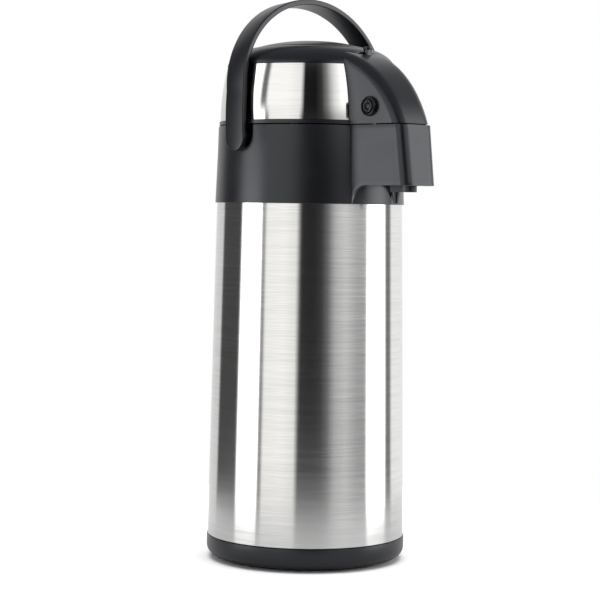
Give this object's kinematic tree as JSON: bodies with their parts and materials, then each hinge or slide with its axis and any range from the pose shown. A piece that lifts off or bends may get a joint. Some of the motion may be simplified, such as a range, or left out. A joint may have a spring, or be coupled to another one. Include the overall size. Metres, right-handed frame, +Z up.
{
  "type": "coffee airpot",
  "caption": "Tall vacuum flask with a press-button bellows pump in a hinged lid, a pouring nose, a swing-over carrying handle and a swivel base.",
  "frame": {"origin": "centre of the underside of the rubber pad that the airpot stands on", "axes": "+Z up along the flask's axis; the pouring nose points to -Y; +X is to the right of someone who faces along +Y, and the handle's and the lid's axes are along X"},
  "size_m": [0.1768, 0.228, 0.495],
  "materials": {
    "brushed_steel": "brushed round the body",
    "plain_steel": "plain drawn or rolled",
    "black_plastic": "satin",
    "silicone": "matt",
    "black_rubber": "matt",
    "white_nylon": "matt"
  },
  "bodies": {
    "foot": {"foot_pad": "black_rubber", "turntable_foot": "black_plastic", "glide_ring": "white_nylon", "swivel_washer": "plain_steel", "swivel_screw": "plain_steel"},
    "flask": {"base_cup": "black_plastic", "base_screw_1": "plain_steel", "base_screw_2": "plain_steel", "base_screw_3": "plain_steel", "outer_shell": "brushed_steel", "shell_bottom": "plain_steel", "vessel_support": "black_rubber", "inner_vessel": "plain_steel", "neck_ring": "white_nylon", "neck_gasket": "silicone", "neck_insert": "black_plastic", "collar": "black_plastic", "handle_pin_left": "plain_steel", "handle_pin_right": "plain_steel", "hinge_pin": "plain_steel", "dip_tube": "plain_steel", "tube_strainer": "black_plastic", "spout_duct": "silicone", "nose_cover": "black_plastic", "nozzle": "black_plastic"},
    "lid": {"lid_shell": "black_plastic", "lid_band": "brushed_steel", "lid_plate": "black_plastic", "pump_gasket": "silicone", "intake_flap": "silicone", "lid_screw_1": "plain_steel", "lid_screw_2": "plain_steel", "lid_screw_3": "plain_steel", "lid_screw_4": "plain_steel", "bellows": "black_rubber", "return_spring": "plain_steel", "latch_spring": "plain_steel"},
    "pump_button": {"pump_button": "black_plastic"},
    "lock_slider": {"lock_slider": "black_plastic"},
    "latch_left": {"latch_left": "black_plastic"},
    "latch_right": {"latch_right": "black_plastic"},
    "handle": {"handle": "black_plastic"}
  },
  "joints": [
    {"name": "swivel", "type": "hinge", "parent": "foot", "child": "flask", "pos_m": [0, 0, 0], "axis": [0, 0, 1], "continuous": true},
    {"name": "lid_hinge", "type": "hinge", "parent": "flask", "child": "lid", "pos_m": [0, 0.071, 0.385], "axis": [-1, 0, 0], "range_deg": [0, 5]},
    {"name": "pump_press", "type": "slide", "parent": "lid", "child": "pump_button", "axis": [0, 0, -1], "range_m": [0, 0.02], "stiffness_N_per_m": 800, "springref_m": -0.006, "deforming": ["bellows", "return_spring"]},
    {"name": "lock_slide", "type": "slide", "parent": "lid", "child": "lock_slider", "axis": [1, 0, 0], "range_m": [-0.008, 0]},
    {"name": "latch_left_press", "type": "slide", "parent": "lid", "child": "latch_left", "axis": [1, 0, 0], "range_m": [0, 0.003], "stiffness_N_per_m": 600, "springref_m": -0.002, "deforming": ["latch_spring"]},
    {"name": "latch_right_press", "type": "slide", "parent": "lid", "child": "latch_right", "axis": [-1, 0, 0], "range_m": [0, 0.003], "stiffness_N_per_m": 600, "springref_m": -0.002, "deforming": ["latch_spring"]},
    {"name": "handle_swing", "type": "hinge", "parent": "flask", "child": "handle", "pos_m": [0, 0, 0.3707], "axis": [-1, 0, 0], "range_deg": [-60, 90]}
  ]
}
